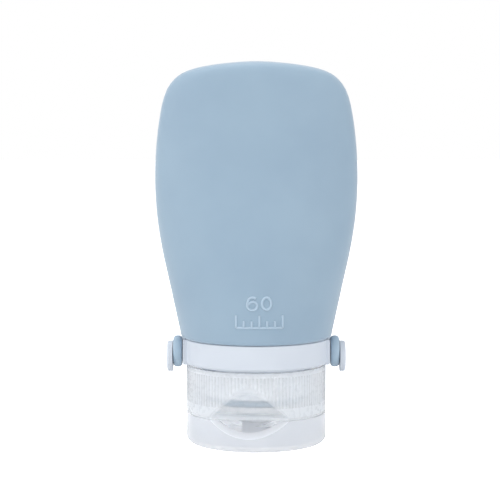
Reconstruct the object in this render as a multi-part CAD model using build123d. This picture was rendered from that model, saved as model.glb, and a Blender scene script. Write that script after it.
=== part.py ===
from build123d import *
import os
from math import cos, pi, sin

os.makedirs("parts", exist_ok=True)

# All lengths are millimetres, all angles degrees.
# The bottle stands on its closed lid: Z runs up its axis and the front looks along -Y.

# The whole bottle
total_height = 102.0
closure_turn = -7.0

# Flip lid
lid_radius = 18.75
lid_height = 8.1
lid_wall = 1.1
lid_plate = 1.3
lid_edge = 1.85
lid_inner_edge = 0.7
rim_clearance = 0.1
plug_clearance = 0.3
plug_reach = 2.5
plug_wall = 0.9
plug_tip_edge = 0.5

# Cap base: ribbed skirt, plate, thread skirt and nozzle
skirt_height = 11.9
skirt_wall = 1.1
shadow_band = 0.7
shadow_step = 0.4
plate_thickness = 1.4
plain_band = 2.6
top_band = 0.4
rib_count = 120
rib_depth = 0.28
thread_skirt_radius = 14.1
thread_skirt_wall = 0.9
thread_skirt_height = 10.2
nozzle_radius = 4.2
nozzle_wall = 1.1
nozzle_height = 2.6
nozzle_edge = 0.3
snap_ring_height = 1.5
snap_ring_wall = 0.9
snap_ring_clearance = 0.45

# Thumb grip, cut into the skirt above the seam and into the lid below it
grip_height = 9.3
grip_middle_height = 5.4
grip_middle_depth = 0.9
grip_depth = 3.36
grip_wall = 1.0
notch_height = 4.3
notch_depth = 3.07
grip_overcut = 3.0

# Film hinge between cap base and lid
hinge_width = 9.4
hinge_film = 0.3
hinge_leaf = 0.6
hinge_leaf_height = 1.5
hinge_fit = 0.05

# Sealing ring, dosing valve and its retaining ring
seal_thickness = 1.3
seal_width = 2.6
seal_fit = 0.05
valve_radius = 7.6
valve_flange = 1.0
valve_skin = 0.55
valve_sag = 1.5
valve_fit = 0.08
slit_length = 4.6
slit_gap = 0.12
retainer_height = 1.1
retainer_wall = 0.8
retainer_bore_radius = 5.2

# Silicone bottle
body_width = 54.3
shoulder_radius = 19.9
shoulder_edge = 0.8
body_wall = 1.8
bore_radius = 9.8
neck_wall = 1.5
lip_radius = 13.3
lip_thickness = 1.7
lip_edge = 0.6

# White collar with its threaded tube and two studs
collar_radius = 19.35
collar_height = 6.7
collar_wall = 1.5
collar_web = 1.5
collar_edge = 0.6
collar_top_edge = 0.2
collar_gap = 0.5
neck_fit = 0.1
thread_tube_wall = 1.6
pad_width = 11.0
pad_reach = 19.6
pad_edge = 0.3
pin_radius = 1.5
pin_height = 3.0
head_radius = 4.15
head_thickness = 1.5
head_drop = 1.3
head_edge = 0.6

# Carry strap: two eyes on the studs and a loop behind the bottle
eye_radius = 4.1
strap_thickness = 2.5
strap_width = 7.0
strap_edge = 0.6
strap_gap = 0.3
strap_arm = 19.0
strap_droop = 6.0
pin_clearance = 0.06
head_clearance = 0.1

# One overrun serves every cut that has to pass right through a wall
overrun = 1.0

# Silicone body sections: height as a share of the body's height, width of its width,
# depth of the shoulder's radius
section_shares = [
    (0.000, 0.733, 1.000),
    (0.080, 0.784, 0.968),
    (0.200, 0.854, 0.900),
    (0.320, 0.926, 0.815),
    (0.440, 0.977, 0.713),
    (0.560, 0.999, 0.612),
    (0.660, 0.996, 0.538),
    (0.745, 0.977, 0.481),
    (0.815, 0.951, 0.438),
    (0.865, 0.923, 0.409),
    (0.905, 0.884, 0.386),
    (0.935, 0.824, 0.367),
    (0.957, 0.748, 0.350),
    (0.974, 0.655, 0.331),
    (0.985, 0.555, 0.309),
    (0.993, 0.430, 0.280),
    (1.000, 0.270, 0.240),
]

# Heights worked out from the pieces that stand on each other
plate_z = lid_height + rim_clearance
skirt_z = plate_z + shadow_band
plate_top_z = plate_z + plate_thickness
skirt_top_z = skirt_z + skirt_height
lip_z = plate_top_z + seal_thickness + 2 * seal_fit
tube_z = lip_z + lip_thickness + neck_fit
collar_z = skirt_top_z + collar_gap
collar_top_z = collar_z + collar_height
shoulder_z = collar_top_z + neck_fit
pin_z = collar_z + pin_height
hinge_z = (lid_height + skirt_z) / 2
hinge_y = lid_radius
cavity_floor_z = shoulder_z + body_wall

# Radii and places that follow from them
tube_bore_radius = bore_radius + neck_wall + neck_fit
tube_radius = tube_bore_radius + thread_tube_wall
socket_radius = valve_radius + valve_fit
retainer_radius = socket_radius + retainer_wall
strap_inner_reach = pad_reach + strap_gap
strap_outer_reach = strap_inner_reach + strap_thickness
head_inner_reach = strap_outer_reach + head_clearance


def disc(radius, low, high):
    """Round disc about the Z axis between two heights."""
    return Pos(0, 0, low) * extrude(Circle(radius), amount=high - low)


def ring(outer, inner, low, high):
    """Round tube about the Z axis between two heights."""
    return Pos(0, 0, low) * extrude(Circle(outer) - Circle(inner), amount=high - low)


def side_disc(radius, near, far, height):
    """Round disc about an axis along X, between two distances from the middle."""
    plane = Plane(origin=(near, 0, height), x_dir=(0, 1, 0), z_dir=(1, 0, 0))
    return extrude(plane * Circle(radius), amount=far - near)


def side_wall(profile, width):
    """Closed Y-Z outline made solid evenly to both sides of the middle plane."""
    return extrude(Plane.YZ * profile, amount=width / 2, both=True)


def pillow(inset):
    """Body from round shoulder to level crown, drawn in by an inset all over."""
    low = shoulder_z + inset
    height = total_height - inset - low
    sections = []
    for height_share, width_share, depth_share in section_shares:
        half_width = width_share * body_width / 2 - inset
        half_depth = depth_share * shoulder_radius - inset
        sections.append(Pos(0, 0, low + height_share * height) * Ellipse(half_width, half_depth))
    return loft(sections)


def bottle_body():
    """Silicone bottle with its neck sleeve and the lip rolled over the collar's tube."""
    outer = pillow(0)
    outer = fillet(outer.edges().group_by(Axis.Z)[0], shoulder_edge)
    neck_radius = bore_radius + neck_wall
    lip = disc(lip_radius, lip_z, lip_z + lip_thickness)
    lip = chamfer(lip.edges(), lip_edge)
    outer = outer + disc(neck_radius, lip_z, cavity_floor_z) + lip
    bore = disc(bore_radius, lip_z - overrun, cavity_floor_z + overrun)
    return outer - pillow(body_wall) - bore


def stud():
    """Pin and eccentric button head on the right-hand pad."""
    pin = side_disc(pin_radius, collar_radius - collar_wall, head_inner_reach + head_thickness / 2, pin_z)
    head = side_disc(head_radius, head_inner_reach, head_inner_reach + head_thickness, pin_z - head_drop)
    head = fillet(head.edges().group_by(Axis.X)[-1], head_edge)
    return pin + head


def neck_collar():
    """Moulded collar, open below, with the tube that the cap screws onto."""
    body = disc(collar_radius, collar_z, collar_top_z)
    body = chamfer(body.edges().group_by(Axis.Z)[0], collar_edge)
    body = chamfer(body.edges().group_by(Axis.Z)[-1], collar_top_edge)
    pads = Pos(0, 0, (collar_z + collar_top_z) / 2) * Box(2 * pad_reach, pad_width, collar_height)
    pads = chamfer(pads.edges().filter_by(Axis.Y), pad_edge)
    body = body + pads
    hollow = disc(collar_radius - collar_wall, collar_z - overrun, collar_top_z - collar_web)
    body = body - hollow + disc(tube_radius, tube_z, collar_top_z)
    body = body + stud() + mirror(stud(), Plane.YZ)
    return body - disc(tube_bore_radius, tube_z - overrun, collar_top_z + overrun)


def strap_band():
    """U-shaped band round the back, in the plane of the pin axis."""
    outline = Polyline(
        (strap_outer_reach, 0),
        (strap_outer_reach, strap_arm),
    )
    outline += ThreePointArc(
        (strap_outer_reach, strap_arm), (0, strap_arm + strap_outer_reach), (-strap_outer_reach, strap_arm)
    )
    outline += Polyline((-strap_outer_reach, strap_arm), (-strap_outer_reach, 0), (-strap_inner_reach, 0))
    outline += Line((-strap_inner_reach, 0), (-strap_inner_reach, strap_arm))
    outline += ThreePointArc(
        (-strap_inner_reach, strap_arm), (0, strap_arm + strap_inner_reach), (strap_inner_reach, strap_arm)
    )
    outline += Polyline((strap_inner_reach, strap_arm), (strap_inner_reach, 0), (strap_outer_reach, 0))
    band = extrude(make_face(outline), amount=strap_width / 2, both=True)
    long_edges = band.edges().group_by(Axis.Z)
    return chamfer(long_edges[0] + long_edges[-1], strap_edge)


def carry_strap():
    """Silicone strap that turns on the studs, drooping a little at rest."""
    strap = strap_band()
    for side in (1, -1):
        eye = side_disc(eye_radius, side * strap_inner_reach, side * strap_outer_reach, 0)
        strap = strap + chamfer(eye.edges().filter_by(GeomType.CIRCLE), strap_edge)
    bore = side_disc(pin_radius + pin_clearance, -strap_outer_reach - overrun, strap_outer_reach + overrun, 0)
    return Pos(0, 0, pin_z) * Rot(X=-strap_droop) * (strap - bore)


def rib_ring():
    """Plan of the ribbed skirt: a fine zigzag, one point a rib."""
    step = 2 * pi / rib_count
    root = lid_radius - rib_depth
    points = []
    for rib in range(rib_count):
        points.append((lid_radius * cos(rib * step), lid_radius * sin(rib * step)))
        points.append((root * cos((rib + 0.5) * step), root * sin((rib + 0.5) * step)))
    return make_face(Polyline(*points, close=True))


def grip_profile(inset):
    """Y-Z outline of what the thumb grip takes off the skirt, drawn in by a wall."""
    front = -lid_radius + inset
    low = (front + grip_depth, skirt_z)
    middle = (front + grip_middle_depth, skirt_z + grip_middle_height)
    high = (front, skirt_z + grip_height)
    edge = ThreePointArc(low, middle, high)
    closing = Polyline(
        high,
        (front - grip_overcut, skirt_z + grip_height),
        (front - grip_overcut, plate_z - overrun),
        (front + grip_depth, plate_z - overrun),
        low,
    )
    return make_face(edge + closing)


def notch_profile(inset):
    """Y-Z outline of the slanted cut through the lid's front wall."""
    front = -lid_radius + inset
    slope = notch_depth / notch_height
    rise = notch_height + overrun
    return make_face(
        Polyline(
            (front - grip_overcut, lid_height - notch_height - grip_overcut / slope),
            (front + slope * rise, lid_height + overrun),
            (front - grip_overcut, lid_height + overrun),
            close=True,
        )
    )


def hinge_pocket(low, high):
    """Flat at the back of the closure where the film hinge's leaves sit."""
    depth = hinge_leaf + overrun
    middle = (0, hinge_y - hinge_leaf + depth / 2, (low + high) / 2)
    return Pos(*middle) * Box(hinge_width, depth, high - low)


def cap_base():
    """Screw cap without its lid: double skirt, plate, nozzle, snap ring and thumb grip."""
    skirt_inner = lid_radius - skirt_wall
    ribs = Pos(0, 0, skirt_z + plain_band) * extrude(rib_ring(), amount=skirt_height - plain_band - top_band)
    skirt = disc(lid_radius, skirt_z, skirt_z + plain_band) + ribs
    skirt = skirt + disc(lid_radius - rib_depth, skirt_top_z - top_band, skirt_top_z)
    base = skirt - disc(skirt_inner, plate_top_z, skirt_top_z + overrun)
    base = base + disc(lid_radius - shadow_step, plate_z, plate_top_z)
    thread_outer = thread_skirt_radius + thread_skirt_wall
    base = base + ring(thread_outer, thread_skirt_radius, plate_top_z, plate_top_z + thread_skirt_height)
    ribless = disc(lid_radius - rib_depth, plate_top_z, skirt_top_z) - disc(
        thread_skirt_radius, plate_z, skirt_top_z + overrun
    )
    base = base + (ribless & side_wall(grip_profile(grip_wall), 2 * lid_radius))
    base = base - side_wall(grip_profile(0), 2 * lid_radius)
    snap_outer = lid_radius - lid_wall - snap_ring_clearance
    snap = ring(snap_outer, snap_outer - snap_ring_wall, plate_z - snap_ring_height, plate_z)
    base = base + (snap - side_wall(notch_profile(snap_ring_clearance), 2 * lid_radius))
    nozzle = disc(nozzle_radius + nozzle_wall, plate_z - nozzle_height, plate_z)
    nozzle = chamfer(nozzle.edges().group_by(Axis.Z)[0], nozzle_edge)
    base = base + nozzle - disc(nozzle_radius, plate_z - nozzle_height - overrun, plate_top_z + overrun)
    base = base - hinge_pocket(plate_z - overrun, skirt_z + hinge_leaf_height)
    return Rot(Z=closure_turn) * base


def flip_lid():
    """Lid shell with its plug, the slanted thumb notch and the lower hinge leaf."""
    lid = disc(lid_radius, 0, lid_height)
    lid = fillet(lid.edges().group_by(Axis.Z)[0], lid_edge)
    hollow = disc(lid_radius - lid_wall, lid_plate, lid_height + overrun)
    hollow = chamfer(hollow.edges().group_by(Axis.Z)[0], lid_inner_edge)
    lid = lid - hollow
    plug_radius = nozzle_radius - plug_clearance
    plug_top = plate_z - nozzle_height + plug_reach
    plug = disc(plug_radius, lid_plate, plug_top)
    plug = chamfer(plug.edges().group_by(Axis.Z)[-1], plug_tip_edge)
    lid = lid + plug - disc(plug_radius - plug_wall, lid_plate, plug_top + overrun)
    lid = lid - side_wall(notch_profile(0), 2 * lid_radius)
    low = lid_height - hinge_leaf_height
    lid = lid - hinge_pocket(low, lid_height + overrun)
    leaf = Pos(0, hinge_y - hinge_leaf / 2, (low + lid_height) / 2) * Box(
        hinge_width - 2 * hinge_fit, hinge_leaf, hinge_leaf_height
    )
    film_top = hinge_z - hinge_fit
    film = Pos(0, hinge_y - hinge_film / 2, (lid_height + film_top) / 2) * Box(
        hinge_width - 2 * hinge_fit, hinge_film, film_top - lid_height
    )
    return Rot(Z=closure_turn) * (lid + leaf + film)


def living_hinge():
    """Upper leaf and film of the moulded hinge, ending on the hinge line."""
    high = skirt_z + hinge_leaf_height - hinge_fit
    leaf = Pos(0, hinge_y - hinge_leaf / 2, (skirt_z + high) / 2) * Box(
        hinge_width - 2 * hinge_fit, hinge_leaf, high - skirt_z
    )
    film = Pos(0, hinge_y - hinge_film / 2, (hinge_z + skirt_z) / 2) * Box(
        hinge_width - 2 * hinge_fit, hinge_film, skirt_z - hinge_z
    )
    return Rot(Z=closure_turn) * (leaf + film)


def seal_ring():
    """Flat gasket between the cap's plate and the bottle's lip."""
    low = plate_top_z + seal_fit
    return ring(lip_radius - lip_edge / 2, lip_radius - lip_edge / 2 - seal_width, low, low + seal_thickness)


def slit_valve():
    """Silicone membrane, bowed into the nozzle and cut crosswise."""
    low = plate_top_z
    high = low + valve_flange
    dome = nozzle_radius - valve_fit
    bowl = (dome * cos(pi / 4), low - valve_sag * sin(pi / 4))
    outline = Polyline(
        (0, low - valve_sag),
        (0, low - valve_sag + valve_skin),
        (bowl[0] - valve_skin / 2, bowl[1] + valve_skin),
        (dome - valve_skin, high),
        (valve_radius, high),
        (valve_radius, low),
        (dome, low),
        bowl,
        close=True,
    )
    membrane = revolve(Plane.XZ * make_face(outline), Axis.Z)
    slit_depth = valve_sag + valve_flange
    slit = Pos(0, 0, low - valve_sag + slit_depth / 2) * Box(slit_length, slit_gap, 2 * slit_depth)
    return membrane - slit - Rot(Z=90) * slit


def valve_retainer():
    """Stepped ring that is welded to the plate and holds the valve's flange."""
    step = plate_top_z + valve_flange + valve_fit
    high = step + retainer_height
    outer = ring(retainer_radius, retainer_bore_radius, plate_top_z, high)
    return outer - disc(socket_radius, plate_top_z - overrun, step)


def main():
    pieces = {
        "bottle_body": bottle_body,
        "neck_collar": neck_collar,
        "carry_strap": carry_strap,
        "cap_base": cap_base,
        "flip_lid": flip_lid,
        "living_hinge": living_hinge,
        "seal_ring": seal_ring,
        "slit_valve": slit_valve,
        "valve_retainer": valve_retainer,
    }
    for name, make in pieces.items():
        export_step(make(), f"parts/{name}.step")


main()
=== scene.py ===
# %% [markdown]
# # A flat silicone squeeze bottle
#
# The bottle stands upside down on the flip lid of its screw closure. Its rigid pieces, the white
# collar and the clear closure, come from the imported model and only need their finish. The soft
# pieces, the silicone bottle and its carry strap, are modelled again here with smooth surfaces.

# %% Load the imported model
import math
import bmesh
import bpy
from mathutils import Matrix, Vector
from mathutils.bvhtree import BVHTree


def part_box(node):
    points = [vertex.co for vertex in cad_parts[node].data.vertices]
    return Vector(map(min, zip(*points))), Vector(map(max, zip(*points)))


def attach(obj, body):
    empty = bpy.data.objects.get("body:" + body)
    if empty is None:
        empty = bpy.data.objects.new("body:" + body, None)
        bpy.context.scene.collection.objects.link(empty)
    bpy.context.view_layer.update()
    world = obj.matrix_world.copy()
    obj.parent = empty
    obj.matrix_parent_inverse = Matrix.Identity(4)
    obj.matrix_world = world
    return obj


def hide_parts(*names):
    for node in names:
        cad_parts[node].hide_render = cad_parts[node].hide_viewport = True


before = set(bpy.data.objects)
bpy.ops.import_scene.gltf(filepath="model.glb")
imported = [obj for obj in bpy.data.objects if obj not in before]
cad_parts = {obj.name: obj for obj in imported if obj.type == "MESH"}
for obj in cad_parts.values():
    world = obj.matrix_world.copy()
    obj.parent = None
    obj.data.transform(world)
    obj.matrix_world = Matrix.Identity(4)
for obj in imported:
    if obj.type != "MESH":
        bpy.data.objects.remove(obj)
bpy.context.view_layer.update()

MM = 0.001

# %% [markdown]
# ## Helpers for finishes
#
# Every finish here is a Principled shader fed by small procedural patterns. They read Object
# coordinates in metres, so a grain of half a millimetre has a noise scale of about 2000.

# %% Finish helpers
def new_finish(name):
    """An empty material with its shader, ready for patterns."""
    material = bpy.data.materials.new(name)
    material.use_nodes = True
    tree = material.node_tree
    shader = tree.nodes["Principled BSDF"]
    place = tree.nodes.new("ShaderNodeTexCoord")
    return material, tree, shader, place.outputs["Object"]


def noise(tree, place, scale, detail=2.0, roughness=0.5):
    """Cloudy pattern with lumps of about 1 / scale metres."""
    node = tree.nodes.new("ShaderNodeTexNoise")
    node.inputs["Scale"].default_value = scale
    node.inputs["Detail"].default_value = detail
    node.inputs["Roughness"].default_value = roughness
    tree.links.new(place, node.inputs["Vector"])
    return node.outputs["Fac"]


def blend_colours(tree, factor, low, high, start=0.35, end=0.65):
    """Colour that runs from low to high along a pattern."""
    node = tree.nodes.new("ShaderNodeValToRGB")
    node.color_ramp.elements[0].position = start
    node.color_ramp.elements[0].color = (*low, 1)
    node.color_ramp.elements[1].position = end
    node.color_ramp.elements[1].color = (*high, 1)
    tree.links.new(factor, node.inputs["Fac"])
    return node.outputs["Color"]


def spread(tree, value, low, high):
    """Brings a 0 to 1 pattern into a narrower span."""
    node = tree.nodes.new("ShaderNodeMapRange")
    node.inputs["To Min"].default_value = low
    node.inputs["To Max"].default_value = high
    tree.links.new(value, node.inputs["Value"])
    return node.outputs["Result"]


def bump(tree, height, depth, strength=1.0):
    """Surface relief, depth in metres."""
    node = tree.nodes.new("ShaderNodeBump")
    node.inputs["Strength"].default_value = strength
    node.inputs["Distance"].default_value = depth
    tree.links.new(height, node.inputs["Height"])
    return node.outputs["Normal"]


def srgb(red, green, blue):
    """Linear colour of an 8-bit screen colour."""
    def linear(channel):
        c = channel / 255
        return c / 12.92 if c <= 0.04045 else ((c + 0.055) / 1.055) ** 2.4
    return tuple(linear(c) for c in (red, green, blue))


# %% [markdown]
# ## Silicone finish
#
# The real silicone is moulded in a finely blasted tool, so it is matt, a little powdery, and
# slightly see-through at thin edges. A sheen layer gives the pale rim, subsurface scattering
# softens the shading, and two fine noises make the blasted grain.

# %% Silicone finish
def silicone(name, low, high):
    """Matt moulded silicone, cloudy between two colours."""
    material, tree, shader, place = new_finish(name)
    clouds = noise(tree, place, 55, detail=3)
    tree.links.new(blend_colours(tree, clouds, low, high), shader.inputs["Base Color"])
    grain = noise(tree, place, 2600, detail=3, roughness=0.6)
    tree.links.new(spread(tree, grain, 0.5, 0.66), shader.inputs["Roughness"])
    tree.links.new(bump(tree, grain, 0.00004, 0.35), shader.inputs["Normal"])
    shader.inputs["Subsurface Weight"].default_value = 0.12
    shader.inputs["Subsurface Radius"].default_value = (0.7, 0.9, 1.0)
    shader.inputs["Subsurface Scale"].default_value = 0.0015
    shader.inputs["Specular IOR Level"].default_value = 0.35
    shader.inputs["Sheen Weight"].default_value = 0.5
    shader.inputs["Sheen Roughness"].default_value = 0.4
    return material


body_silicone = silicone("body_silicone", srgb(149, 172, 191), srgb(154, 177, 195))
strap_skin = silicone("strap_skin", srgb(169, 191, 209), srgb(173, 195, 212))
# the mark's paler colours are a painted highlight for the light that the raised strokes catch
mark_painted_highlight = silicone("mark_painted_highlight", srgb(173, 195, 213), srgb(178, 199, 217))
print("silicone finishes:", body_silicone.name, strap_skin.name, mark_painted_highlight.name)

# %% [markdown]
# ## Plastic finishes
#
# The closure is natural polypropylene, which is milky. Full refraction would need many bounces
# through a dozen walls, so each wall is a thin veil instead: a white that covers what is behind it
# only in part, and lets most of the light that meets it pass on inside. How much it covers follows
# the distance from the axis and the height. In the cap the thumb grip's smooth wall covers little,
# so the blue lip shows behind it, the ribs cover more on their crests than in their valleys, and
# the plate and nozzle cover most. The lid is one even veil, but its plug and the face that the
# thumb notch cuts through its wall cover nearly all. The collar is the same plastic with white
# pigment, so it is opaque.

# %% Plastic finishes
def ramp(tree, value, start, end, low=0.0, high=1.0):
    """Smooth step of a value between two limits."""
    node = tree.nodes.new("ShaderNodeMapRange")
    node.interpolation_type = "SMOOTHSTEP"
    for socket, number in zip(("From Min", "From Max", "To Min", "To Max"), (start, end, low, high)):
        node.inputs[socket].default_value = number
    tree.links.new(value, node.inputs["Value"])
    return node.outputs["Result"]


def math_node(tree, operation, first, second):
    """Arithmetic on two patterns or numbers."""
    node = tree.nodes.new("ShaderNodeMath")
    node.operation = operation
    for socket, value in zip(node.inputs, (first, second)):
        if isinstance(value, (int, float)):
            socket.default_value = value
        else:
            tree.links.new(value, socket)
    return node.outputs[0]


def axis_distance(tree, place):
    """Distance from the bottle's axis, in metres, and the height."""
    flat = tree.nodes.new("ShaderNodeVectorMath")
    flat.operation = "MULTIPLY"
    flat.inputs[1].default_value = (1, 1, 0)
    tree.links.new(place, flat.inputs[0])
    size = tree.nodes.new("ShaderNodeVectorMath")
    size.operation = "LENGTH"
    tree.links.new(flat.outputs["Vector"], size.inputs[0])
    parts = tree.nodes.new("ShaderNodeSeparateXYZ")
    tree.links.new(place, parts.inputs[0])
    return size.outputs["Value"], parts.outputs["Z"]


# radii between which the nozzle or plug ends, and the thread skirt ends and the grip begins
NOZZLE_ENDS = 5.4 * MM, 5.6 * MM
GRIP_BEGINS = 15.2 * MM, 15.3 * MM
# radii and heights of the closure's walls
SKIRT_BEGINS = 17.9 * MM
RIB_VALLEY, RIB_CREST = 18.46 * MM, 18.74 * MM
SNAP_RING_TOP = 8.2 * MM
PLATE_TOP = 10.0 * MM
RIBS_LOW, RIBS_HIGH = 11.5 * MM, 19.4 * MM
LID_FLOOR = 1.3 * MM

# the notch is cut through the lid's front by a slanted plane, turned with the closure
CLOSURE_TURN = math.radians(7.0)
CUT_SLOPE = 3.07 / 4.3
CUT_OFFSET = (18.75 + CUT_SLOPE * 3.8) * MM


def times(tree, first, second):
    """Product of two patterns or numbers."""
    return math_node(tree, "MULTIPLY", first, second)


def most(tree, first, second):
    """The greater of two patterns or numbers."""
    return math_node(tree, "MAXIMUM", first, second)


def cap_cover(tree, place):
    """Share that each wall of the cap covers: much on a rib's crest, little in the smooth grip."""
    radius, height = axis_distance(tree, place)
    ribs = ramp(tree, radius, RIB_VALLEY, RIB_CREST, 0.6, 0.78)
    lower_band = ramp(tree, height, RIBS_LOW - 0.1 * MM, RIBS_LOW, 0.82, 0.0)
    upper_band = ramp(tree, height, RIBS_HIGH, RIBS_HIGH + 0.3 * MM, 0.0, 0.9)
    outer_wall = ramp(tree, radius, SKIRT_BEGINS, RIB_VALLEY - 0.01 * MM)
    skirt = times(tree, most(tree, ribs, most(tree, lower_band, upper_band)), outer_wall)
    grip = ramp(tree, radius, *GRIP_BEGINS, 0.0, 0.26)
    thread_skirt = times(
        tree, ramp(tree, radius, *GRIP_BEGINS, 0.7, 0.0), ramp(tree, height, 12.9 * MM, 13.4 * MM)
    )
    plate = times(
        tree,
        ramp(tree, height, PLATE_TOP - 0.3 * MM, PLATE_TOP, 0.75, 0.0),
        ramp(tree, radius, *NOZZLE_ENDS, 1.3, 1.0),
    )
    snap_ring = times(
        tree,
        ramp(tree, height, SNAP_RING_TOP - 0.05 * MM, SNAP_RING_TOP, 1.0, 0.0),
        ramp(tree, radius, *GRIP_BEGINS),
    )
    plate = times(tree, plate, ramp(tree, snap_ring, 0.0, 1.0, 1.0, 0.4))
    return most(tree, most(tree, skirt, grip), most(tree, thread_skirt, plate))


def lid_cover(tree, place):
    """Share that the lid's walls cover: the plug and the notch's cut face most, the shell less."""
    radius, height = axis_distance(tree, place)
    across = tree.nodes.new("ShaderNodeVectorMath")
    across.operation = "DOT_PRODUCT"
    across.inputs[1].default_value = (math.sin(CLOSURE_TURN), math.cos(CLOSURE_TURN), -CUT_SLOPE)
    tree.links.new(place, across.inputs[0])
    off_cut = math_node(tree, "ABSOLUTE", math_node(tree, "ADD", across.outputs["Value"], CUT_OFFSET), 0.0)
    cut = ramp(tree, off_cut, 0.03 * MM, 0.1 * MM, 1.0, 0.0)
    plug = times(
        tree,
        ramp(tree, radius, *NOZZLE_ENDS, 1.0, 0.0),
        ramp(tree, height, LID_FLOOR, LID_FLOOR + 0.3 * MM),
    )
    return ramp(tree, most(tree, plug, cut), 0.0, 1.0, 0.56, 0.95)


def rounded_ribs(tree, place):
    """Normal that turns each rib's flat flanks towards the round skirt, as a worn tool rounds them."""
    radius, height = axis_distance(tree, place)
    facing = tree.nodes.new("ShaderNodeTexCoord")
    out = tree.nodes.new("ShaderNodeVectorMath")
    out.operation = "MULTIPLY"
    out.inputs[1].default_value = (1, 1, 0)
    tree.links.new(place, out.inputs[0])
    unit = tree.nodes.new("ShaderNodeVectorMath")
    unit.operation = "NORMALIZE"
    tree.links.new(out.outputs["Vector"], unit.inputs[0])
    on_skirt = ramp(tree, radius, RIB_VALLEY - 0.02 * MM, RIB_VALLEY + 0.01 * MM, 0.0, 0.65)
    above_band = ramp(tree, height, RIBS_LOW, RIBS_LOW + 0.1 * MM)
    mixed = tree.nodes.new("ShaderNodeMix")
    mixed.data_type = "VECTOR"
    tree.links.new(times(tree, on_skirt, above_band), mixed.inputs["Factor"])
    tree.links.new(facing.outputs["Normal"], mixed.inputs[4])
    tree.links.new(unit.outputs["Vector"], mixed.inputs[5])
    world = tree.nodes.new("ShaderNodeVectorTransform")
    world.vector_type, world.convert_from, world.convert_to = "NORMAL", "OBJECT", "WORLD"
    tree.links.new(mixed.outputs[1], world.inputs[0])
    return world.outputs[0]


def milky(name, low, high, cover, roughness):
    """Natural plastic: a veil that covers in part, and lets most of the light that meets it through."""
    material, tree, shader, place = new_finish(name)
    clouds = noise(tree, place, 90, detail=2)
    tree.links.new(blend_colours(tree, clouds, low, high), shader.inputs["Base Color"])
    fine = noise(tree, place, 900, detail=2)
    tree.links.new(spread(tree, fine, roughness - 0.05, roughness + 0.05), shader.inputs["Roughness"])
    surface = bump(tree, clouds, 0.00006, 0.3)
    tree.links.new(rounded_ribs(tree, place), surface.node.inputs["Normal"])
    tree.links.new(surface, shader.inputs["Normal"])
    rays = tree.nodes.new("ShaderNodeLightPath")
    light = most(tree, rays.outputs["Is Shadow Ray"], rays.outputs["Is Diffuse Ray"])
    veil = times(tree, cover(tree, place), ramp(tree, light, 0.0, 1.0, 1.0, 0.1))
    tree.links.new(veil, shader.inputs["Alpha"])
    shader.inputs["Specular IOR Level"].default_value = 0.8
    shader.inputs["Subsurface Weight"].default_value = 0.7
    shader.inputs["Subsurface Radius"].default_value = (1.0, 1.0, 1.0)
    shader.inputs["Subsurface Scale"].default_value = 0.004
    shader.inputs["IOR"].default_value = 1.49
    return material


def pigmented(name, low, high, roughness):
    """Opaque plastic with a fine satin surface."""
    material, tree, shader, place = new_finish(name)
    clouds = noise(tree, place, 70, detail=2)
    tree.links.new(blend_colours(tree, clouds, low, high), shader.inputs["Base Color"])
    fine = noise(tree, place, 1500, detail=2)
    tree.links.new(spread(tree, fine, roughness - 0.04, roughness + 0.04), shader.inputs["Roughness"])
    tree.links.new(bump(tree, fine, 0.00001, 0.2), shader.inputs["Normal"])
    shader.inputs["Subsurface Weight"].default_value = 0.1
    shader.inputs["Subsurface Radius"].default_value = (1.0, 1.0, 1.0)
    shader.inputs["Subsurface Scale"].default_value = 0.001
    return material


closure_clear = milky("closure_clear", srgb(226, 233, 243), srgb(232, 239, 248), cap_cover, 0.28)
lid_clear = milky("lid_clear", srgb(224, 230, 241), srgb(229, 235, 246), lid_cover, 0.3)
collar_white = pigmented("collar_white", srgb(210, 217, 227), srgb(214, 221, 230), 0.4)
valve_silicone = pigmented("valve_silicone", srgb(232, 236, 240), srgb(238, 241, 245), 0.5)
for node, material in (
    ("neck_collar", collar_white),
    ("cap_base", closure_clear),
    ("flip_lid", lid_clear),
    ("living_hinge", closure_clear),
    ("seal_ring", valve_silicone),
    ("slit_valve", valve_silicone),
    ("valve_retainer", collar_white),
):
    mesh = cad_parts[node].data
    mesh.materials.clear()
    mesh.materials.append(material)
    print(node, "->", material.name)

# %% [markdown]
# ## The silicone bottle
#
# From the front the bottle is a spade: it leaves a round shoulder, widens to two thirds of its
# height and ends in a flat crown with round corners. From the side it only gets thinner. It is
# made from one ring of edges that is extruded upwards again and again, each time squeezed to the
# oval that the bottle has at that height. A smooth curve through a short table gives the ovals,
# and they grow a little squarer upwards, which flattens the front and rounds the edge.

# %% Shape of the bottle
SHOULDER = 28.1 * MM
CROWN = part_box("bottle_body")[1].z
HALF_WIDTH = 54.3 / 2 * MM
SHOULDER_RADIUS = 19.9 * MM

# height, width and depth as shares of the bottle's height, width and shoulder
OVALS = [
    (0.000, 0.740, 1.000), (0.080, 0.787, 0.968), (0.200, 0.857, 0.900), (0.320, 0.928, 0.815),
    (0.440, 0.978, 0.713), (0.560, 0.998, 0.612), (0.660, 0.992, 0.538), (0.745, 0.972, 0.481),
    (0.815, 0.944, 0.438), (0.865, 0.914, 0.409), (0.905, 0.871, 0.386), (0.935, 0.808, 0.367),
    (0.957, 0.731, 0.350), (0.974, 0.612, 0.325), (0.985, 0.470, 0.290), (0.993, 0.310, 0.235),
    (0.998, 0.150, 0.150), (1.000, 0.060, 0.070),
]
SQUARENESS = 0.4


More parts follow.
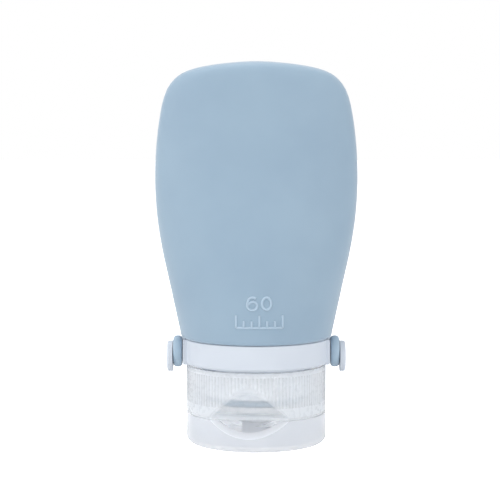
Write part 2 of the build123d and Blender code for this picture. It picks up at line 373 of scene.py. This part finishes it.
def oval_at(share):
    """Half width and half depth of the bottle at a share of its height, smooth between rows."""
    i = max(1, min(len(OVALS) - 1, sum(1 for row in OVALS if row[0] < share)))
    rows = [OVALS[max(0, i - 2)], OVALS[i - 1], OVALS[i], OVALS[min(len(OVALS) - 1, i + 1)]]
    span = rows[2][0] - rows[1][0]
    t = (share - rows[1][0]) / span
    sizes = []
    for k in (1, 2):
        slope_low = (rows[2][k] - rows[0][k]) / (rows[2][0] - rows[0][0])
        slope_high = (rows[3][k] - rows[1][k]) / (rows[3][0] - rows[1][0])
        sizes.append(
            rows[1][k] * (1 + 2 * t) * (1 - t) ** 2
            + slope_low * span * t * (1 - t) ** 2
            + rows[2][k] * t * t * (3 - 2 * t)
            - slope_high * span * t * t * (1 - t)
        )
    return sizes[0] * HALF_WIDTH, sizes[1] * SHOULDER_RADIUS


print("half width and depth at mid height (mm):", [round(v / MM, 1) for v in oval_at(0.5)])

# %% [markdown]
# The bottle's outside, its round neck and the lip that is rolled over the collar's tube are one
# skin, drawn from the lip upwards and closed at the crown.

# %% Model the bottle
AROUND = 128
ELLIPSE = 2.0


def power(value, exponent):
    """Power that keeps the sign."""
    return math.copysign(abs(value) ** exponent, value)


def next_ring(bm, edges, old, new, height):
    """Extrudes a ring of edges from one oval to the next: half width, half depth and squareness."""
    grown = bmesh.ops.extrude_edge_only(bm, edges=edges)["geom"]
    for vert in (g for g in grown if isinstance(g, bmesh.types.BMVert)):
        across, deep = (power(vert.co[k] / old[k], old[2] / 2) for k in (0, 1))
        turn = math.atan2(deep, across)
        across, deep = (power(share, 2 / new[2]) for share in (math.cos(turn), math.sin(turn)))
        vert.co = (new[0] * across, new[1] * deep, height)
    return [g for g in grown if isinstance(g, bmesh.types.BMEdge)]


def finish_mesh(bm, name, material, smooth=True):
    """Turns a bmesh into an object with clean outward faces."""
    bmesh.ops.remove_doubles(bm, verts=bm.verts, dist=1e-7)
    bmesh.ops.recalc_face_normals(bm, faces=bm.faces)
    mesh = bpy.data.meshes.new(name)
    bm.to_mesh(mesh)
    bm.free()
    mesh.materials.append(material)
    if smooth:
        mesh.shade_smooth()
    piece = bpy.data.objects.new(name, mesh)
    bpy.context.collection.objects.link(piece)
    return piece


# radius and height in millimetres, from inside the lip, round it, up the neck and out to the body
neck_outline = [
    (9.8, 12.7), (9.8, 11.5), (10.1, 11.1), (10.5, 11.0), (12.6, 11.0), (13.05, 11.2), (13.3, 11.6),
    (13.3, 12.1), (13.05, 12.5), (12.6, 12.7), (11.3, 12.7), (11.3, 20.0), (11.3, 28.1),
    (18.3, 28.1), (19.2, 28.13), (19.7, 28.4),
]
# each ring's oval and height
outline = [((radius * MM, radius * MM, ELLIPSE), height * MM) for radius, height in neck_outline]
height_shares = [0.009, 0.018] + [0.03 * k for k in range(1, 31)]
height_shares += [
    0.92, 0.935, 0.947, 0.957, 0.966, 0.974, 0.980, 0.985, 0.989, 0.993, 0.996, 0.998, 0.9993, 1.0
]
for share in height_shares:
    outline.append(((*oval_at(share), ELLIPSE + SQUARENESS * share), SHOULDER + share * (CROWN - SHOULDER)))

BORE = 9.8 * MM
bm = bmesh.new()
bmesh.ops.create_circle(bm, segments=AROUND, radius=BORE)
bmesh.ops.translate(bm, verts=bm.verts, vec=(0, 0, 28.0 * MM))
ring, oval = list(bm.edges), (BORE, BORE, ELLIPSE)
for wider, height in outline:
    ring = next_ring(bm, ring, oval, wider, height)
    oval = wider
bmesh.ops.edgeloop_fill(bm, edges=ring)
silicone_bottle = finish_mesh(bm, "silicone_bottle", body_silicone)
print("bottle faces:", len(silicone_bottle.data.polygons))
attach(silicone_bottle, "bottle")
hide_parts("bottle_body")

# %% [markdown]
# ## The raised mark
#
# The front carries a raised number over a small level scale, moulded with the bottle by round
# grooves in the tool. The strokes get a paler colour than the matt skin: a painted highlight for
# the light that the raised strokes catch.
# Each stroke is a curve with a round section; its mesh is pushed back until its middle lies on
# the bottle's skin, so half of it stands proud.

# %% Model the raised mark
bottle_skin = BVHTree.FromObject(silicone_bottle, bpy.context.evaluated_depsgraph_get())


def strokes(name, lines, centre, thickness):
    """Round strokes through points (x, z) in millimetres; a line that ends where it starts is closed."""
    curve = bpy.data.curves.new(name, "CURVE")
    curve.dimensions = "3D"
    curve.bevel_depth, curve.bevel_resolution, curve.use_fill_caps = thickness / 2 * MM, 2, True
    for points in lines:
        closed = points[0] == points[-1]
        spline = curve.splines.new("NURBS")
        points = points[:-1] if closed else points
        spline.points.add(len(points) - 1)
        for knot, (x, z) in zip(spline.points, points):
            knot.co = ((x + centre[0]) * MM, 0, (z + centre[1]) * MM, 1)
        spline.order_u = min(3, len(points))
        spline.use_cyclic_u, spline.use_endpoint_u = closed, not closed
        spline.resolution_u = 6
    drawn = bpy.data.objects.new(name, curve)
    bpy.context.collection.objects.link(drawn)
    bpy.context.view_layer.update()
    mesh = bpy.data.meshes.new_from_object(drawn)
    bpy.data.objects.remove(drawn)
    bm = bmesh.new()
    bm.from_mesh(mesh)
    for vert in bm.verts:
        on_skin = bottle_skin.ray_cast(Vector((vert.co.x, -100 * MM, vert.co.z)), Vector((0, 1, 0)))[0]
        vert.co.y += on_skin.y
    return finish_mesh(bm, name, mark_painted_highlight)


MARK_MIDDLE, NUMBER_HEIGHT, SCALE_HEIGHT = 0.7, 39.0, 34.4
BASE_LINE, LONG_TICK, SHORT_TICK = -1.6, 1.6, 0.2
six = [
    (0.95, 1.3), (0.35, 1.62), (-0.75, 1.45), (-1.25, 0.3), (-1.3, -0.75), (-0.7, -1.65),
    (0.6, -1.7), (1.35, -0.9), (1.1, 0.2), (0.1, 0.5), (-0.8, 0.15), (-1.2, -0.5),
]
zero = [(1.25 * math.cos(k * math.tau / 8), 1.65 * math.sin(k * math.tau / 8)) for k in range(8)]
digits = [[(x - 1.85, z) for x, z in six], [(x + 1.85, z) for x, z in zero + zero[:1]]]
raised_number = strokes("raised_number", digits, (MARK_MIDDLE, NUMBER_HEIGHT), 0.62)
ticks = [[(x, BASE_LINE) for x in (-6.0, -2.0, 2.0, 6.0)]]
for k in range(7):
    x = -6.0 + 2.0 * k
    ticks.append([(x, BASE_LINE), (x, LONG_TICK if k % 3 == 0 else SHORT_TICK)])
level_marks = strokes("level_marks", ticks, (MARK_MIDDLE, SCALE_HEIGHT), 0.56)
for piece in (raised_number, level_marks):
    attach(piece, "bottle")
print("mark width (mm):", round(raised_number.dimensions.x / MM, 1), round(level_marks.dimensions.x / MM, 1))

# %% [markdown]
# ## The carry strap
#
# A U-shaped band with an eye at each end, moulded in one. The band is a flat section that is
# extruded along the straight arms and spun round the bend; each eye is a round section spun about
# the stud's axis. They are fused by a voxel remesh, which also rounds the joins the way a mould
# does, and a smooth takes the voxel steps off.

# %% Model the carry strap
PIN = Vector((0, 0, 24.3 * MM))
ARM, REACH, THICK, WIDE, DROOP = 19.0 * MM, 21.15 * MM, 2.5 * MM, 7.0 * MM, math.radians(6)
EYE, EDGE = 4.25 * MM, 0.9 * MM


def section(bm, wide, high, edge):
    """Rounded rectangle in the X-Z plane, as a single face."""
    verts = bmesh.ops.create_grid(bm, x_segments=1, y_segments=1, size=0.5)["verts"]
    bmesh.ops.scale(bm, verts=verts, vec=(wide, high, 1))
    bmesh.ops.rotate(bm, verts=verts, cent=(0, 0, 0), matrix=Matrix.Rotation(math.pi / 2, 3, "X"))
    bmesh.ops.bevel(bm, geom=verts, offset=edge, segments=4, profile=0.5, affect="VERTICES", material=-1)
    return list(bm.faces)


def grow(bm, faces, move):
    """Extrudes faces along a vector and returns the new end."""
    new = bmesh.ops.extrude_face_region(bm, geom=faces)["geom"]
    bmesh.ops.translate(bm, verts=[g for g in new if isinstance(g, bmesh.types.BMVert)], vec=move)
    return [g for g in new if isinstance(g, bmesh.types.BMFace)]


bm = bmesh.new()
end = section(bm, THICK, WIDE, EDGE)
bmesh.ops.translate(bm, verts=bm.verts, vec=(REACH, 0, 0))
end = grow(bm, end, (0, ARM, 0))
spun = bmesh.ops.spin(
    bm, geom=end, cent=(0, ARM, 0), axis=(0, 0, 1), angle=math.pi, steps=48,
    use_merge=False, use_duplicate=False
)["geom_last"]
grow(bm, [g for g in spun if isinstance(g, bmesh.types.BMFace)], (0, -ARM, 0))
for side in (1, -1):
    eye = bmesh.new()
    bmesh.ops.create_cone(eye, cap_ends=True, segments=64, radius1=EYE, radius2=EYE, depth=THICK)
    rims = [e for e in eye.edges if abs(e.verts[0].co.z - e.verts[1].co.z) < 1e-9]
    bmesh.ops.bevel(eye, geom=rims, offset=EDGE, segments=4, profile=0.5, affect="EDGES", material=-1)
    bmesh.ops.rotate(eye, verts=eye.verts, cent=(0, 0, 0), matrix=Matrix.Rotation(math.pi / 2, 3, "Y"))
    bmesh.ops.translate(eye, verts=eye.verts, vec=(side * REACH, 0, 0))
    eye_mesh = bpy.data.meshes.new("eye")
    eye.to_mesh(eye_mesh)
    eye.free()
    bm.from_mesh(eye_mesh)
bmesh.ops.rotate(bm, verts=bm.verts, cent=(0, 0, 0), matrix=Matrix.Rotation(-DROOP, 3, "X"))
bmesh.ops.translate(bm, verts=bm.verts, vec=PIN)
carry_strap = finish_mesh(bm, "carry_strap_soft", strap_skin)
fuse = carry_strap.modifiers.new("fuse", "REMESH")
fuse.mode, fuse.voxel_size, fuse.use_smooth_shade = "VOXEL", 0.3 * MM, True
soften = carry_strap.modifiers.new("soften", "SMOOTH")
soften.factor, soften.iterations = 0.5, 6
fused = bpy.data.meshes.new_from_object(carry_strap.evaluated_get(bpy.context.evaluated_depsgraph_get()))
carry_strap.modifiers.clear()
carry_strap.data = fused
fused.shade_smooth()
if not fused.materials:
    fused.materials.append(strap_skin)
print("strap triangles:", sum(len(p.vertices) - 2 for p in fused.polygons))
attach(carry_strap, "strap")
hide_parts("carry_strap")

# %% [markdown]
# ## Threads
#
# The cap's skirt screws onto the collar's tube. Each thread is a small ridge section that is spun
# up the axis with a rise at every step: three millimetres a turn, right-handed. The two ridges
# lie half a pitch apart, so they mesh as the real ones do.

# %% Model the threads
PITCH = 3.0 * MM


def thread(name, root, crest, start, turns, material, body):
    """Helical ridge between two radii, starting at a height."""
    bm = bmesh.new()
    for radius, height in ((root, -0.62), (root, 0.62), (crest, 0.3), (crest, -0.3)):
        bm.verts.new((radius * MM, 0, (start + height) * MM))
    face = bm.faces.new(bm.verts)
    steps = int(turns * 72)
    bmesh.ops.spin(
        bm, geom=[face], cent=(0, 0, 0), axis=(0, 0, 1), angle=math.tau * turns, steps=steps,
        dvec=(0, 0, PITCH * turns / steps), use_merge=False, use_duplicate=False
    )
    piece = finish_mesh(bm, name, material, smooth=False)
    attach(piece, body)
    print(name, "faces:", len(piece.data.polygons))


thread("neck_thread", 12.95, 13.75, 14.6, 1.6, collar_white, "bottle")
thread("cap_thread", 14.15, 13.35, 12.3, 2.0, closure_clear, "cap")

# %% [markdown]
# ## Studio
#
# The photograph is a catalogue picture: white all round, soft light from the upper left, and a
# long lens a little above the closure. Floor and sky are made white for the camera, while the
# floor still takes the object's shadow.

# %% Floor, sky and lights
bm = bmesh.new()
bmesh.ops.create_grid(bm, x_segments=1, y_segments=1, size=9.0)
floor_paint, tree, shader, place = new_finish("floor_paint")
whites = blend_colours(tree, noise(tree, place, 3), (0.93, 0.93, 0.93), (0.95, 0.95, 0.95))
tree.links.new(whites, shader.inputs["Base Color"])
shader.inputs["Roughness"].default_value = 0.9
shader.inputs["Specular IOR Level"].default_value = 0.1
lift = tree.nodes.new("ShaderNodeEmission")
lift.inputs["Strength"].default_value = 0.7
both = tree.nodes.new("ShaderNodeAddShader")
rays = tree.nodes.new("ShaderNodeLightPath")
seen = tree.nodes.new("ShaderNodeMixShader")
tree.links.new(shader.outputs[0], both.inputs[0])
tree.links.new(lift.outputs[0], both.inputs[1])
tree.links.new(rays.outputs["Is Camera Ray"], seen.inputs["Fac"])
tree.links.new(shader.outputs[0], seen.inputs[1])
tree.links.new(both.outputs[0], seen.inputs[2])
tree.links.new(seen.outputs[0], tree.nodes["Material Output"].inputs["Surface"])
floor = finish_mesh(bm, "floor", floor_paint, smooth=False)

world = bpy.data.worlds.new("studio")
world.use_nodes = True
tree = world.node_tree
lighting = tree.nodes["Background"]
lighting.inputs["Color"].default_value = (0.97, 0.98, 1.0, 1)
lighting.inputs["Strength"].default_value = 0.58
plain = tree.nodes.new("ShaderNodeBackground")
plain.inputs["Color"].default_value = (1, 1, 1, 1)
plain.inputs["Strength"].default_value = 1.0
rays = tree.nodes.new("ShaderNodeLightPath")
direct = most(tree, rays.outputs["Is Camera Ray"], rays.outputs["Is Glossy Ray"])
direct = most(tree, direct, rays.outputs["Is Transmission Ray"])
chosen = tree.nodes.new("ShaderNodeMixShader")
tree.links.new(direct, chosen.inputs["Fac"])
tree.links.new(lighting.outputs[0], chosen.inputs[1])
tree.links.new(plain.outputs[0], chosen.inputs[2])
tree.links.new(chosen.outputs[0], tree.nodes["World Output"].inputs["Surface"])
bpy.context.scene.world = world


def softbox(name, place, aim, size, power):
    """Square lamp that looks at a point."""
    lamp = bpy.data.lights.new(name, "AREA")
    lamp.shape = "SQUARE"
    lamp.size = size
    lamp.energy = power
    holder = bpy.data.objects.new(name, lamp)
    holder.location = place
    holder.rotation_mode = "QUATERNION"
    holder.rotation_quaternion = (Vector(aim) - Vector(place)).to_track_quat("-Z", "Y")
    bpy.context.collection.objects.link(holder)


softbox("key_light", (-0.72, -0.38, 0.45), (0, 0, 0.05), 0.5, 2.7)
softbox("fill_light", (0.60, -0.55, 0.35), (0, 0, 0.05), 0.6, 2.1)
softbox("top_light", (-0.1, 0.10, 0.75), (0, 0, 0.06), 0.5, 2.2)

# %% [markdown]
# ## Camera
#
# The ellipses of the closure and the collar in the photograph give the lens and the height: a
# long lens 402 mm in front of the axis, 79 mm up, looking 3.9 degrees down.

# %% Camera
lens = bpy.data.cameras.new("camera")
lens.sensor_width = 36
lens.lens = 108
lens.clip_start, lens.clip_end = 0.01, 20
camera = bpy.data.objects.new("camera", lens)
camera.location = (-1.7 * MM, -402.3 * MM, 79.0 * MM)
camera.rotation_euler = (math.pi / 2 - 0.068, 0, 0)
bpy.context.collection.objects.link(camera)
bpy.context.scene.camera = camera
bpy.context.scene.view_settings.view_transform = "Standard"
print("field of view:", round(math.degrees(lens.angle), 1), "degrees")
